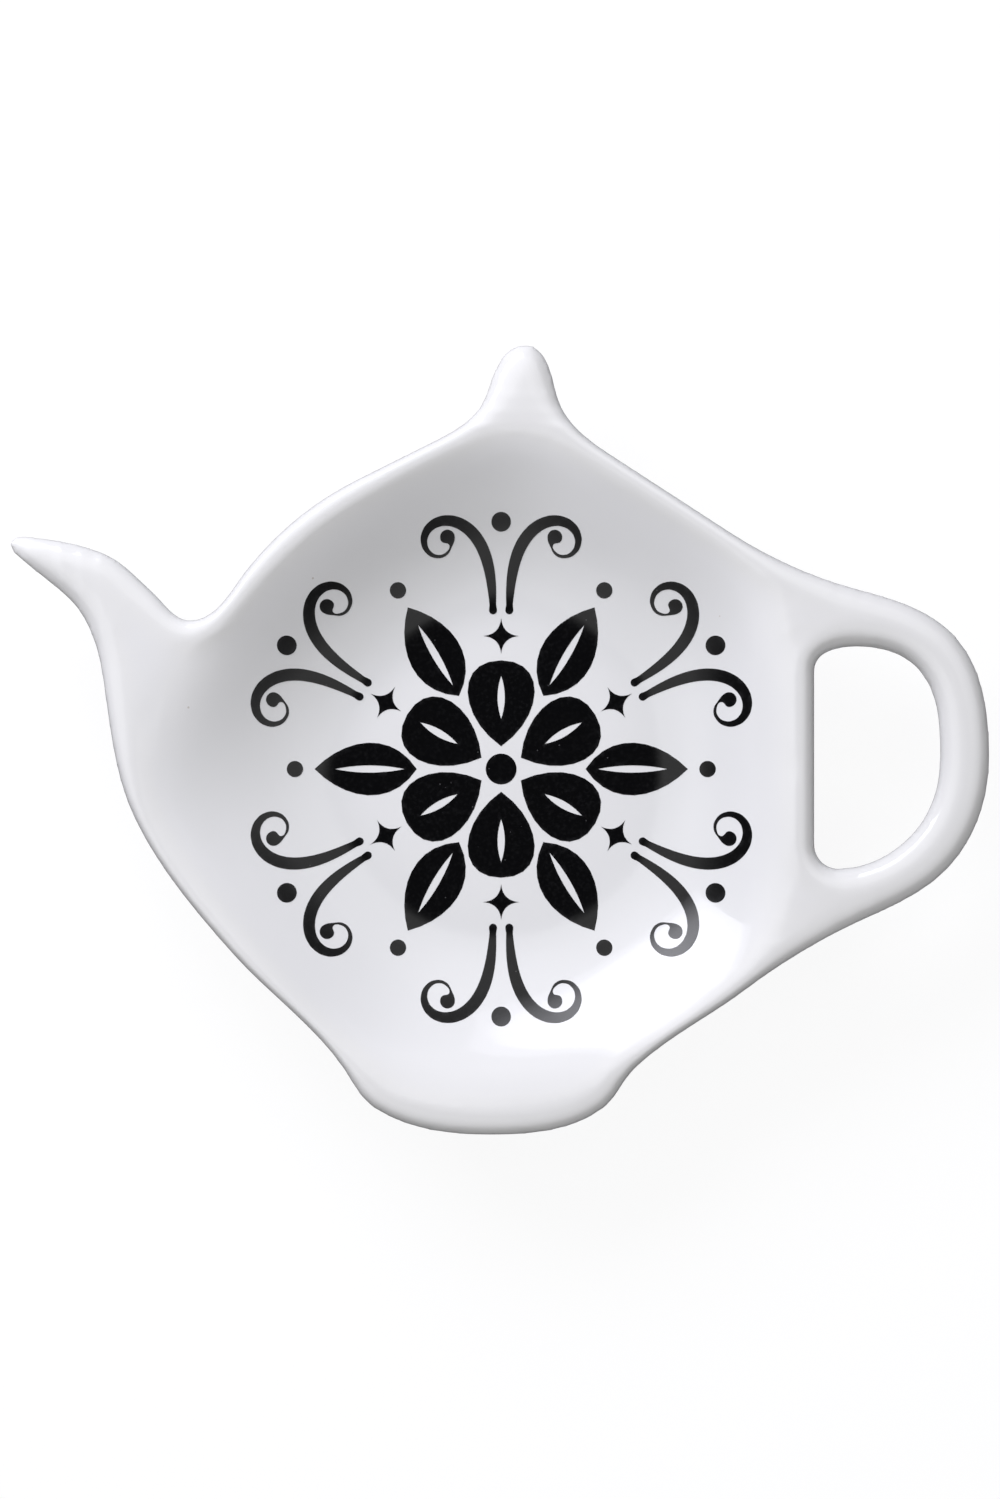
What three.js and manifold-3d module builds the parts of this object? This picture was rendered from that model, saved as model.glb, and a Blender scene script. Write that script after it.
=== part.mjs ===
// A spoon rest in the shape of a teapot, lying on its side: one glazed ceramic dish with a
// spout, a lid knob, a looped handle and a foot in its outline, and a fired-on black print.
// Millimetres, +Z up. The dish is drawn about the middle of its well, and the finished group
// is moved so that the origin is on the table, under the middle of the whole outline.
import * as THREE from "three";
import { mergeVertices } from "three/addons/utils/BufferGeometryUtils.js";
import Module from "manifold-3d";

const wasm = await Module();
wasm.setup();

// Heights, from the table up
const FOOT_RING_HEIGHT = 1.6; // table to the underside of the floor
const FLOOR_THICKNESS = 3.6;
const WELL_DEPTH = 8.2; // floor to the top of the rim
const RIM_THICKNESS = 6; // rim, spout, knob and handle are one plate this thick

// Rounding of the plate's edges
const RIM_RUN = 1.5; // how far in the top edge is rounded, along the lip of the well
const ROLL_SPREAD = 0.2; // how much farther, for each millimetre away from the lip
const EDGE_RUN = 3.2; // but no farther than this
const EDGE_DROP = 1.5; // how far down it is rounded
const HOLE_RUN = 3.6; // the same two, round the finger hole
const HOLE_DROP = 2.3;
const UNDER_ROUND = 3.2; // how far in the bottom edges are rounded

// Slope of the well, measured inwards from its lip
const LIP_RUN = 3.2; // the lip curves over
const SLOPE_RUN = 8; // even slope
const TOE_RUN = 11; // the slope curves into the floor
const LIP_OUTSET = 0.4; // the lip starts this far outside the sides of the belly
const BELLY_SOFTNESS = 12; // a higher number makes the belly's corners sharper
const CORNER_FADE = 1.5; // a higher number rounds the well's floor more

// Slanting sides of the belly: all lie as far from the middle of the well, and each faces
// this many degrees above or below the level line
const BELLY_REACH = 39.6;
const UPPER_RIGHT_SLANT = 57;
const TOP_LEFT_SLANT = 63.5;
const UPPER_LEFT_SLANT = 38;
const LOWER_LEFT_SLANT = 41.6;
const LOWER_RIGHT_SLANT = 53;

// How far the outline keeps to a side before it turns off
const KNOB_ROOT_LEFT = 9.2;
const KNOB_ROOT_RIGHT = 10.1;
const HANDLE_ROOT_TOP = 7.9;
const HANDLE_ROOT_BOTTOM = 7.6;
const BULGE_ROOT = 4.8;

// Spout, seen from above: a horn that leaves the left side and bends outwards. Each place
// on it is measured from the one before, from the root to the tip.
const SPOUT_ROOT_REACH = 8.8; // out from the belly
const SPOUT_ROOT_RISE = 8.4;
const SPOUT_ROOT_WIDTH = 10.3; // root to the notch behind the spout
const NOTCH_RISE = 9.8;
const SPOUT_BACK_REACH = 4.6;
const SPOUT_BACK_RISE = 3.5;
const THROAT_REACH = 1.9;
const THROAT_RISE = 8.5;
const BEND_REACH = 0.5;
const BEND_RISE = 6.7;
const BEND_WIDTH = 7;
const TIP_REACH = 9.4;
const TIP_RISE = 4;
const TIP_ROUND = 0.9;
const SPOUT_LAND = 0.8; // lip of the well to the root
const BULGE_REACH = 5.2; // out from the belly, where the left side turns under the spout
const BULGE_DROP = 6.2;

// Lid knob, from its roots up
const KNOB_NECK_X = 2.5;
const KNOB_NECK_WIDTH = 8.6;
const KNOB_NECK_RISE = 6.7;
const KNOB_CAP_RISE = 6.1;
const KNOB_LEAN = 0.4;

// Handle: the finger hole, and the width of the band round it
const HOLE_SETBACK = 1.2; // in from the belly's reach
const HOLE_WIDTH = 15.4;
const HOLE_TOP = 15;
const HOLE_BOTTOM = 12.2;
const HOLE_CORNER_ROUND = 2.9;
const HOLE_CREST = 5.4; // left wall to the highest point
const HOLE_UPPER_INSET = 2.6;
const HOLE_UPPER_DROP = 2.8;
const HOLE_LOWER_INSET = 3.4;
const HOLE_LOWER_RISE = 4.2;
const HOLE_LAND = 2.7; // lip of the well to the hole
const BAND_TOP = 7;
const BAND_SIDE = 6;
const BAND_BOTTOM = 6.5;

// Foot of the teapot, from its waist down
const FOOT_X = -1.5;
const WAIST_SETBACK = 2.8; // in from the belly's reach
const WAIST_WIDTH = 35.4;
const FOOT_DROP = 4.6;
const FOOT_WIDTH = 28.4;
const SOLE_DROP = 3.4;
const FOOT_LAND = 4.1; // lip of the well to the sole

// Which way the edge runs at places on the outline, in degrees, with the material on its left
const TIP_UNDER_ANGLE = -42;
const TIP_BACK_ANGLE = 176;
const BEND_ANGLE = 147; // the way the spout points at its bend
const BEND_TAPER_ANGLE = 12; // how much each edge of the spout turns in there
const THROAT_ANGLE = -66;
const SPOUT_ROOT_ANGLE = -82;
const SPOUT_BACK_ANGLE = 138;
const BULGE_ANGLE = -64;
const WAIST_LEFT_ANGLE = -56;
const FOOT_LEFT_ANGLE = -34;
const FOOT_RIGHT_ANGLE = 38;
const WAIST_RIGHT_ANGLE = 44;
const HANDLE_BOTTOM_ANGLE = 25;
const HANDLE_TOP_ANGLE = 165;
const KNOB_RIGHT_ANGLE = 104;
const KNOB_LEFT_ANGLE = -108;
const HOLE_UPPER_ANGLE = -48;
const HOLE_LOWER_ANGLE = -133;

// Foot ring under the floor
const FOOT_RING_REACH = 20;
const FOOT_RING_WIDTH = 2.6;
const FOOT_RING_ROUND = 0.6;

// Print: a rosette of petals, leaves and paired scrolls, a thin skin of ink on the glaze
const PRINT_FOLD = 6; // how often each motif repeats round the rosette
const PRINT_MARGIN = 7.7; // sides of the belly to the outermost motif
const PRINT_GAP = 0.1;
const PRINT_THICKNESS = 0.12;
const EYE_RADIUS = 1.9;
const PETAL_START = 2.8;
const PETAL_LENGTH = 10.6;
const PETAL_WIDTH = 7.6;
const LEAF_START = 10.4;
const LEAF_LENGTH = 12.6;
const LEAF_WIDTH = 6.4;
const VEIN_WIDTH = 0.9;
const STAR_START = 16.4;
const STAR_RADIUS = 2.2;
const SCROLL_START = 19.2;
const SCROLL_APART = 1;
const SCROLL_LENGTH = 23;
const SCROLL_WIDTH = 1.5;
const SCROLL_BALL = 0.9;
const TIP_DOT_START = 25.4;
const TIP_DOT_RADIUS = 1;
const RIM_DOT_START = 30.4;
const RIM_DOT_RADIUS = 1.2;

// Fineness of the mesh
const TURN_STEP = 10; // degrees of turn for each edge of the outline
const LONGEST_EDGE = 2.6;
const WELL_SEGMENTS = 84;
const TOE_RINGS = 6;
const LIP_RINGS = 3;
const ROUND_STEPS = 4; // from the side of an edge to its top
const SCROLL_STEPS = 20;

const RIM_HEIGHT = FOOT_RING_HEIGHT + FLOOR_THICKNESS + WELL_DEPTH;

// Outline of the dish

const direction = (degrees) => {
  const a = THREE.MathUtils.degToRad(degrees);
  return new THREE.Vector2(Math.cos(a), Math.sin(a));
};

// A place on the outline and the way the edge runs there, with the material on its left
const station = (x, y, run) => ({ at: new THREE.Vector2(x, y), run });

// A station on the side of the belly that faces this way, moved along that side
function sideStation(facing, along = 0) {
  const at = direction(facing).multiplyScalar(BELLY_REACH);
  at.addScaledVector(direction(facing + 90), along);
  return { at, run: facing + 90 };
}

// A station beside another one, a band's width to its left, running the other way
function bandStation(inner, width) {
  const at = inner.at.clone().addScaledVector(direction(inner.run + 90), width);
  return { at, run: inner.run + 180 };
}

// Points on a closed curve through stations; two stations on one circle are joined by its arc
function smoothLoop(stations) {
  return stations.flatMap((a, i) => {
    const b = stations[(i + 1) % stations.length];
    const turn = THREE.MathUtils.euclideanModulo(b.run - a.run + 180, 360) - 180;
    const chord = a.at.distanceTo(b.at);
    const pull = chord / (3 * Math.cos(THREE.MathUtils.degToRad(turn / 4)) ** 2);
    const leave = a.at.clone().addScaledVector(direction(a.run), pull);
    const arrive = b.at.clone().addScaledVector(direction(b.run), -pull);
    const curve = new THREE.CubicBezierCurve(a.at, leave, arrive, b.at);
    const straight = Math.abs(direction(a.run).cross(b.at.clone().sub(a.at))) < 1e-6 * chord;
    if (straight && turn === 0) return [a.at];
    const pieces = Math.max(Math.abs(turn) / TURN_STEP, chord / LONGEST_EDGE);
    return curve.getPoints(Math.ceil(pieces)).slice(0, -1);
  });
}

const upperRight = UPPER_RIGHT_SLANT;
const topLeft = 180 - TOP_LEFT_SLANT;
const upperLeft = 180 - UPPER_LEFT_SLANT;
const lowerLeft = 180 + LOWER_LEFT_SLANT;
const lowerRight = -LOWER_RIGHT_SLANT;

// The finger hole runs clockwise, so that the material is on its left
const holeLeftX = BELLY_REACH - HOLE_SETBACK;
const holeRightX = holeLeftX + HOLE_WIDTH;
const holeCrestX = holeLeftX + HOLE_CREST;
const holeLeftTop = station(holeLeftX, HOLE_TOP - HOLE_CORNER_ROUND, 90);
const holeCrest = station(holeCrestX, HOLE_TOP, 0);
const holeUpperY = HOLE_TOP - HOLE_UPPER_DROP;
const holeUpper = station(holeRightX - HOLE_UPPER_INSET, holeUpperY, HOLE_UPPER_ANGLE);
const holeRight = station(holeRightX, (HOLE_TOP - HOLE_BOTTOM) / 2, -90);
const holeLowerY = HOLE_LOWER_RISE - HOLE_BOTTOM;
const holeLower = station(holeRightX - HOLE_LOWER_INSET, holeLowerY, HOLE_LOWER_ANGLE);
const holeBed = station(holeLeftX + HOLE_CORNER_ROUND, -HOLE_BOTTOM, 180);
const holeLeftBottom = station(holeLeftX, HOLE_CORNER_ROUND - HOLE_BOTTOM, 90);

const hole = smoothLoop([
  holeLeftTop,
  holeCrest,
  holeUpper,
  holeRight,
  holeLower,
  holeBed,
  holeLeftBottom,
]);

const rootX = -BELLY_REACH - SPOUT_ROOT_REACH;
const root = station(rootX, SPOUT_ROOT_RISE, SPOUT_ROOT_ANGLE);
const throat = station(root.at.x - THROAT_REACH, root.at.y + THROAT_RISE, THROAT_ANGLE);
const bend = station(throat.at.x - BEND_REACH, throat.at.y + BEND_RISE, BEND_ANGLE);
const tip = station(bend.at.x - TIP_REACH, bend.at.y + TIP_RISE, -90);
const notch = station(root.at.x + SPOUT_ROOT_WIDTH, root.at.y + NOTCH_RISE, 180);
const bendAcross = direction(bend.run - 90).multiplyScalar(BEND_WIDTH / 2);
const bendUnder = bend.at.clone().sub(bendAcross);
const bendBack = bend.at.clone().add(bendAcross);

const knobRootLeft = sideStation(topLeft, -KNOB_ROOT_LEFT);
const knobRootRight = sideStation(upperRight, KNOB_ROOT_RIGHT);
const knobNeckY = (knobRootLeft.at.y + knobRootRight.at.y) / 2 + KNOB_NECK_RISE;

const waistY = WAIST_SETBACK - BELLY_REACH;
const footY = waistY - FOOT_DROP;
const soleY = footY - SOLE_DROP;

// The outline runs anticlockwise from the tip of the spout
const outline = smoothLoop([
  tip,
  station(tip.at.x + 1.4 * TIP_ROUND, tip.at.y - 1.9 * TIP_ROUND, TIP_UNDER_ANGLE),
  station(bendUnder.x, bendUnder.y, bend.run - 180 - BEND_TAPER_ANGLE),
  throat,
  root,
  station(-BELLY_REACH - BULGE_REACH, -BULGE_DROP, BULGE_ANGLE),
  sideStation(lowerLeft, -BULGE_ROOT),
  station(FOOT_X - WAIST_WIDTH / 2, waistY, WAIST_LEFT_ANGLE),
  station(FOOT_X - FOOT_WIDTH / 2, footY, FOOT_LEFT_ANGLE),
  station(FOOT_X, soleY, 0),
  station(FOOT_X + FOOT_WIDTH / 2, footY, FOOT_RIGHT_ANGLE),
  station(FOOT_X + WAIST_WIDTH / 2, waistY, WAIST_RIGHT_ANGLE),
  sideStation(lowerRight, HANDLE_ROOT_BOTTOM),
  station(holeCrestX, -HOLE_BOTTOM - BAND_BOTTOM, HANDLE_BOTTOM_ANGLE),
  bandStation(holeLower, BAND_SIDE),
  bandStation(holeRight, BAND_SIDE),
  bandStation(holeUpper, BAND_SIDE),
  station(holeCrestX, HOLE_TOP + BAND_TOP, HANDLE_TOP_ANGLE),
  sideStation(upperRight, -HANDLE_ROOT_TOP),
  knobRootRight,
  station(KNOB_NECK_X + KNOB_NECK_WIDTH / 2, knobNeckY, KNOB_RIGHT_ANGLE),
  station(KNOB_NECK_X + KNOB_LEAN, knobNeckY + KNOB_CAP_RISE, 180),
  station(KNOB_NECK_X - KNOB_NECK_WIDTH / 2, knobNeckY, KNOB_LEFT_ANGLE),
  knobRootLeft,
  sideStation(topLeft),
  sideStation(upperLeft),
  notch,
  station(notch.at.x - SPOUT_BACK_REACH, notch.at.y + SPOUT_BACK_RISE, SPOUT_BACK_ANGLE),
  station(bendBack.x, bendBack.y, bend.run + BEND_TAPER_ANGLE),
  station(tip.at.x + 1.4 * TIP_ROUND, tip.at.y + TIP_ROUND, TIP_BACK_ANGLE),
]);

// Solids

function solidFrom(geometry) {
  geometry.deleteAttribute("normal");
  geometry.deleteAttribute("uv");
  const merged = mergeVertices(geometry, 1e-4);
  const triVerts = [];
  for (let i = 0; i < merged.index.count; i += 3) {
    const [a, b, c] = merged.index.array.subarray(i, i + 3);
    if (a !== b && b !== c && c !== a) triVerts.push(a, b, c);
  }
  const vertProperties = new Float32Array(merged.attributes.position.array);
  const mesh = { numProp: 3, vertProperties, triVerts: new Uint32Array(triVerts) };
  return new wasm.Manifold(new wasm.Mesh(mesh));
}

function geometryFrom(positions, triangles) {
  const geometry = new THREE.BufferGeometry();
  geometry.setAttribute("position", new THREE.Float32BufferAttribute(positions, 3));
  geometry.setIndex(Array.from(triangles));
  geometry.computeVertexNormals();
  return geometry;
}

// A wall between two copies of a loop of points, each given by the number of its first point
function wall(lower, upper, count) {
  const triangles = [];
  for (let i = 0; i < count; i += 1) {
    const j = (i + 1) % count;
    triangles.push(lower + i, lower + j, upper + j, lower + i, upper + j, upper + i);
  }
  return triangles;
}

// A plate with round edges. Each loop is repeated in rings up the side: drawn in by the bottom
// rounding, out to the loop itself, and in again by the loop's own top rounding. Where the plate
// is narrow the roundings shrink to fit, so a tip tapers to a point.
function roundedPlate(loops, rolls, underRound, thickness, top) {
  const every = loops.flat();
  const positions = [];
  const triangles = [];
  const under = { crowns: [], ids: [] };
  const over = { crowns: [], ids: [] };
  loops.forEach((loop, n) => {
    const { runAt, drop } = rolls[n];
    const runs = loop.map(runAt);
    const count = loop.length;
    const inward = loop.map((p, i) => {
      const along = loop[(i + 1) % count].clone().sub(loop.at(i - 1));
      return new THREE.Vector2(-along.y, along.x).normalize();
    });
    const room = loop.map((p, i) => {
      const radii = every.map((q) => {
        const ahead = q.clone().sub(p).dot(inward[i]);
        return ahead > 1e-6 ? q.distanceToSquared(p) / (2 * ahead) : Infinity;
      });
      return 0.8 * Math.min(...radii);
    });
    const drawnIn = (i, round, lift) => {
      const reach = Math.min(round, room[i]) * (1 - Math.cos(lift));
      return loop[i].clone().addScaledVector(inward[i], reach);
    };
    const first = positions.length / 3;
    for (let k = -ROUND_STEPS; k <= ROUND_STEPS; k += 1) {
      const lift = (Math.PI / 2) * (k / ROUND_STEPS);
      const height = k < 0 ? thickness - drop : drop;
      const needed = k < 0 ? underRound : drop;
      loop.forEach((p, i) => {
        const q = drawnIn(i, k < 0 ? underRound : runs[i], lift);
        const rise = height * Math.min(1, room[i] / needed) * Math.sin(lift);
        positions.push(q.x, q.y, top - drop + rise);
      });
    }
    for (let k = 0; k < 2 * ROUND_STEPS; k += 1) {
      triangles.push(...wall(first + k * count, first + (k + 1) * count, count));
    }
    under.crowns.push(loop.map((p, i) => drawnIn(i, underRound, Math.PI / 2)));
    under.ids.push(...loop.map((p, i) => first + i));
    over.crowns.push(loop.map((p, i) => drawnIn(i, runs[i], Math.PI / 2)));
    over.ids.push(...loop.map((p, i) => first + 2 * ROUND_STEPS * count + i));
  });
  for (const [a, b, c] of THREE.ShapeUtils.triangulateShape(over.crowns[0], over.crowns.slice(1))) {
    triangles.push(over.ids[a], over.ids[b], over.ids[c]);
  }
  for (const [a, b, c] of THREE.ShapeUtils.triangulateShape(under.crowns[0], under.crowns.slice(1))) {
    triangles.push(under.ids[a], under.ids[c], under.ids[b]);
  }
  return geometryFrom(positions, triangles);
}

// The lip of the well keeps to the slanting sides, and to the lands at the spout, the finger
// hole and the foot
const SIDES = [upperRight, topLeft, upperLeft, lowerLeft, lowerRight].map((facing) => ({
  distance: BELLY_REACH,
  facing,
}));
SIDES.push({ distance: holeLeftX - HOLE_LAND, facing: 0 });
SIDES.push({ distance: -rootX - SPOUT_LAND, facing: 180 });
SIDES.push({ distance: -soleY - FOOT_LAND, facing: 270 });

// Distance from the middle of the well to its lip: a polygon of those sides with soft corners
function lipReach(angle) {
  const sum = SIDES.reduce((total, { distance, facing }) => {
    const toward = Math.cos(angle - THREE.MathUtils.degToRad(facing));
    return total + Math.max(0, toward / (distance + LIP_OUTSET)) ** BELLY_SOFTNESS;
  }, 0);
  return sum ** (-1 / BELLY_SOFTNESS);
}

// The well is turned as a round bowl with this lip, then stretched to the real lip
const LIP_RADIUS = SIDES.reduce((sum, { distance }) => sum + distance, 0) / SIDES.length;

// How far the well has dropped below the rim, at a distance inwards from the lip
function wellDrop(inwards) {
  const steepness = WELL_DEPTH / (LIP_RUN / 2 + SLOPE_RUN + TOE_RUN / 2);
  if (inwards < LIP_RUN) return (steepness * Math.max(0, inwards) ** 2) / (2 * LIP_RUN);
  if (inwards < LIP_RUN + SLOPE_RUN) return steepness * (inwards - LIP_RUN / 2);
  const toe = Math.min(inwards - LIP_RUN - SLOPE_RUN, TOE_RUN);
  return steepness * (LIP_RUN / 2 + SLOPE_RUN + toe - toe ** 2 / (2 * TOE_RUN));
}

const wellHeightAt = (radius) => RIM_HEIGHT - wellDrop(LIP_RADIUS - radius);

// How much the round bowl is stretched; the corners of the lip fade out towards the middle
function stretchAt(angle, radius) {
  return 1 + (lipReach(angle) / LIP_RADIUS - 1) * (radius / LIP_RADIUS) ** CORNER_FADE;
}

// Height of the well's surface over a place in the dish
function wellHeight(x, y) {
  const angle = Math.atan2(y, x);
  let radius = Math.hypot(x, y);
  for (let k = 0; k < 20; k += 1) radius = Math.hypot(x, y) / stretchAt(angle, radius);
  return wellHeightAt(radius);
}

// A turned profile, given as [radius, height], stretched from a circle to the belly's outline
function turned(profile) {
  const points = profile.map(([r, z]) => new THREE.Vector2(r, z));
  const lathe = new THREE.LatheGeometry(points, WELL_SEGMENTS).rotateX(Math.PI / 2);
  const place = lathe.attributes.position;
  for (let i = 0; i < place.count; i += 1) {
    const [x, y] = [place.getX(i), place.getY(i)];
    const stretch = stretchAt(Math.atan2(y, x), Math.hypot(x, y));
    place.setXY(i, x * stretch, y * stretch);
  }
  return solidFrom(lathe);
}

// Radii of the rings that the slope of the well needs, from the floor to the lip
const slopeRadii = [];
for (let k = 0; k <= TOE_RINGS; k += 1) {
  slopeRadii.push(LIP_RADIUS - LIP_RUN - SLOPE_RUN - TOE_RUN * (1 - k / TOE_RINGS));
}
for (let k = 0; k <= LIP_RINGS; k += 1) {
  slopeRadii.push(LIP_RADIUS - LIP_RUN * (1 - k / LIP_RINGS));
}

const wellProfile = slopeRadii.map((r) => [r, wellHeightAt(r)]);
const underProfile = slopeRadii.slice(0, -2).map((r) => [r, wellHeightAt(r) - FLOOR_THICKNESS]);
const bowlEdge = underProfile.at(-1)[0];
const bowlTop = RIM_HEIGHT - RIM_THICKNESS / 2;

const bowl = turned([[0, FOOT_RING_HEIGHT], ...underProfile, [bowlEdge, bowlTop], [0, bowlTop]]);
const wellTop = RIM_HEIGHT + EDGE_DROP;
const well = turned([
  [0, RIM_HEIGHT - WELL_DEPTH],
  ...wellProfile,
  [LIP_RADIUS, wellTop],
  [0, wellTop],
]);

const ringIn = FOOT_RING_REACH - FOOT_RING_WIDTH;
const ringTopOut = wellHeightAt(FOOT_RING_REACH) - FLOOR_THICKNESS / 2;
const ringTopIn = wellHeightAt(ringIn) - FLOOR_THICKNESS / 2;
const footRing = turned([
  [ringIn, ringTopIn],
  [ringIn, FOOT_RING_ROUND],
  [ringIn + 0.3 * FOOT_RING_ROUND, 0.3 * FOOT_RING_ROUND],
  [ringIn + FOOT_RING_ROUND, 0],
  [FOOT_RING_REACH - FOOT_RING_ROUND, 0],
  [FOOT_RING_REACH - 0.3 * FOOT_RING_ROUND, 0.3 * FOOT_RING_ROUND],
  [FOOT_RING_REACH, FOOT_RING_ROUND],
  [FOOT_RING_REACH, ringTopOut],
  [ringIn, ringTopIn],
]);

// The top edge rolls over tightly along the lip of the well, and widely on the handle
const rollRun = (widest) => (place) => {
  const away = Math.max(0, place.length() - lipReach(place.angle()));
  return Math.min(widest, RIM_RUN + ROLL_SPREAD * away);
};
const rolls = [
  { runAt: rollRun(EDGE_RUN), drop: EDGE_DROP },
  { runAt: rollRun(HOLE_RUN), drop: HOLE_DROP },
];
const plate = solidFrom(
  roundedPlate([outline, hole], rolls, UNDER_ROUND, RIM_THICKNESS, RIM_HEIGHT),
);
const dishSolid = plate.add(bowl).subtract(well).add(footRing);
const dishMesh = dishSolid.getMesh();

// Print

// Motifs are drawn with x pointing away from the middle of the rosette
function petal(length, width, veinWidth, veinStart, veinEnd) {
  const motif = new THREE.Shape();
  motif.moveTo(0, 0);
  motif.bezierCurveTo(0.35 * length, -0.7 * width, length, -0.75 * width, length, 0);
  motif.bezierCurveTo(length, 0.75 * width, 0.35 * length, 0.7 * width, 0, 0);
  motif.holes.push(vein(length * veinStart, length * veinEnd, veinWidth));
  return motif;
}

function leaf(length, width, veinWidth, veinStart, veinEnd) {
  const motif = new THREE.Shape();
  motif.moveTo(0, 0);
  motif.bezierCurveTo(0.25 * length, -0.75 * width, 0.7 * length, -0.6 * width, length, 0);
  motif.bezierCurveTo(0.7 * length, 0.6 * width, 0.25 * length, 0.75 * width, 0, 0);
  motif.holes.push(vein(length * veinStart, length * veinEnd, veinWidth));
  return motif;
}

function vein(start, end, width) {
  const slit = new THREE.Path();
  slit.moveTo(start, 0);
  slit.quadraticCurveTo((start + end) / 2, width, end, 0);
  slit.quadraticCurveTo((start + end) / 2, -width, start, 0);
  return slit;
}

function star(radius) {
  const motif = new THREE.Shape();
  motif.moveTo(radius, 0);
  for (const turn of [90, 180, 270, 360]) {
    const waist = direction(turn - 45).multiplyScalar(0.12 * radius);
    const point = direction(turn).multiplyScalar(radius);
    motif.quadraticCurveTo(waist.x, waist.y, point.x, point.y);
  }
  return motif;
}

const dot = (radius) => new THREE.Shape().absarc(0, 0, radius, 0, 2 * Math.PI);

// A stroke that swells, coils up ever tighter to one side and ends in a ball
function scroll(length, width, ball, apart, hand) {
  const at = new THREE.Vector2(0, apart);
  const left = [];
  const right = [];
  let run = 0;
  const step = length / SCROLL_STEPS;
  for (let i = 0; i <= SCROLL_STEPS; i += 1) {
    const t = i / SCROLL_STEPS;
    const across = new THREE.Vector2(-Math.sin(run), Math.cos(run));
    const half = (width / 2) * (0.25 + 0.75 * Math.sin(Math.PI * Math.min(1, t + 0.08)));
    left.push(at.clone().addScaledVector(across, half));
    right.push(at.clone().addScaledVector(across, -half));
    run += ((0.5 + 17 * t ** 2) / length) * step;
    at.x += step * Math.cos(run);
    at.y += step * Math.sin(run);
  }
  const ring = [];
  for (let k = 1; k < 8; k += 1) {
    const a = run - Math.PI * 0.8 + (k / 8) * Math.PI * 1.6;
    ring.push(at.clone().add(new THREE.Vector2(Math.cos(a), Math.sin(a)).multiplyScalar(ball)));
  }
  const points = [...right, ...ring, ...left.reverse()];
  return new THREE.Shape(points.map((p) => new THREE.Vector2(p.x, hand * p.y)));
}

const scrollOf = (hand) => scroll(SCROLL_LENGTH, SCROLL_WIDTH, SCROLL_BALL, SCROLL_APART, hand);

// The whole rosette grows and shrinks with the belly, and keeps its margin
const rosetteReach = Math.max(
  LEAF_START + LEAF_LENGTH,
  TIP_DOT_START + TIP_DOT_RADIUS,
  RIM_DOT_START + RIM_DOT_RADIUS,
  ...scrollOf(1).getPoints().map((p) => Math.hypot(SCROLL_START + p.x, p.y)),
);
const printScale = (BELLY_REACH - PRINT_MARGIN) / rosetteReach;

// A skin of ink lying on the well: the motif turned to its place, and lifted onto the surface
function inkSkin(motif, start, angle) {
  const drawn = motif.extractPoints(8);
  const out = direction(angle).multiplyScalar(printScale);
  const loops = [drawn.shape, ...drawn.holes].map((points, i) => {
    const loop = points[0].equals(points.at(-1)) ? points.slice(0, -1) : points;
    const turnsRight = THREE.ShapeUtils.isClockWise(loop);
    return (turnsRight === i > 0 ? loop : loop.toReversed()).map((p) => {
      const x = out.x * (start + p.x) - out.y * p.y;
      const y = out.y * (start + p.x) + out.x * p.y;
      return new THREE.Vector2(x, y);
    });
  });
  const flat = loops.flat();
  const positions = [PRINT_GAP, PRINT_GAP + PRINT_THICKNESS].flatMap((lift) =>
    flat.flatMap((p) => [p.x, p.y, wellHeight(p.x, p.y) + lift]),
  );
  const triangles = [];
  let first = 0;
  for (const loop of loops) {
    triangles.push(...wall(first, flat.length + first, loop.length));
    first += loop.length;
  }
  for (const [a, b, c] of THREE.ShapeUtils.triangulateShape(loops[0], loops.slice(1))) {
    triangles.push(flat.length + a, flat.length + b, flat.length + c, a, c, b);
  }
  return geometryFrom(positions, triangles);
}

// Assembly

const GLAZE = new THREE.MeshStandardMaterial({ color: "#e8ebef", roughness: 0.12 });
const INK = new THREE.MeshStandardMaterial({ color: "#141417", roughness: 0.2 });

const spoonRest = new THREE.Group();

function addMesh(name, geometry, material) {
  const mesh = new THREE.Mesh(geometry, material);
  mesh.name = name;
  spoonRest.add(mesh);
  return mesh;
}

const dish = addMesh("ceramic_dish", geometryFrom(dishMesh.vertProperties, dishMesh.triVerts), GLAZE);

addMesh("print_eye", inkSkin(dot(EYE_RADIUS), 0, 0), INK);
for (let i = 0; i < PRINT_FOLD; i += 1) {
  const axis = 90 + (360 / PRINT_FOLD) * i;
  const between = axis + 180 / PRINT_FOLD;
  const n = i + 1;
  const bloom = petal(PETAL_LENGTH, PETAL_WIDTH, VEIN_WIDTH, 0.32, 0.82);
  const blade = leaf(LEAF_LENGTH, LEAF_WIDTH, VEIN_WIDTH, 0.12, 0.8);
  addMesh(`print_petal_${n}`, inkSkin(bloom, PETAL_START, axis), INK);
  addMesh(`print_leaf_${n}`, inkSkin(blade, LEAF_START, between), INK);
  addMesh(`print_star_${n}`, inkSkin(star(STAR_RADIUS), STAR_START, axis), INK);
  for (const [side, hand] of [["left", 1], ["right", -1]]) {
    addMesh(`print_scroll_${side}_${n}`, inkSkin(scrollOf(hand), SCROLL_START, axis), INK);
  }
  addMesh(`print_tip_dot_${n}`, inkSkin(dot(TIP_DOT_RADIUS), TIP_DOT_START, between), INK);
  addMesh(`print_rim_dot_${n}`, inkSkin(dot(RIM_DOT_RADIUS), RIM_DOT_START, axis), INK);
}

const middle = new THREE.Box3().setFromObject(dish).getCenter(new THREE.Vector3());
spoonRest.position.set(-middle.x, -middle.y, 0);

export default spoonRest;
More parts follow.
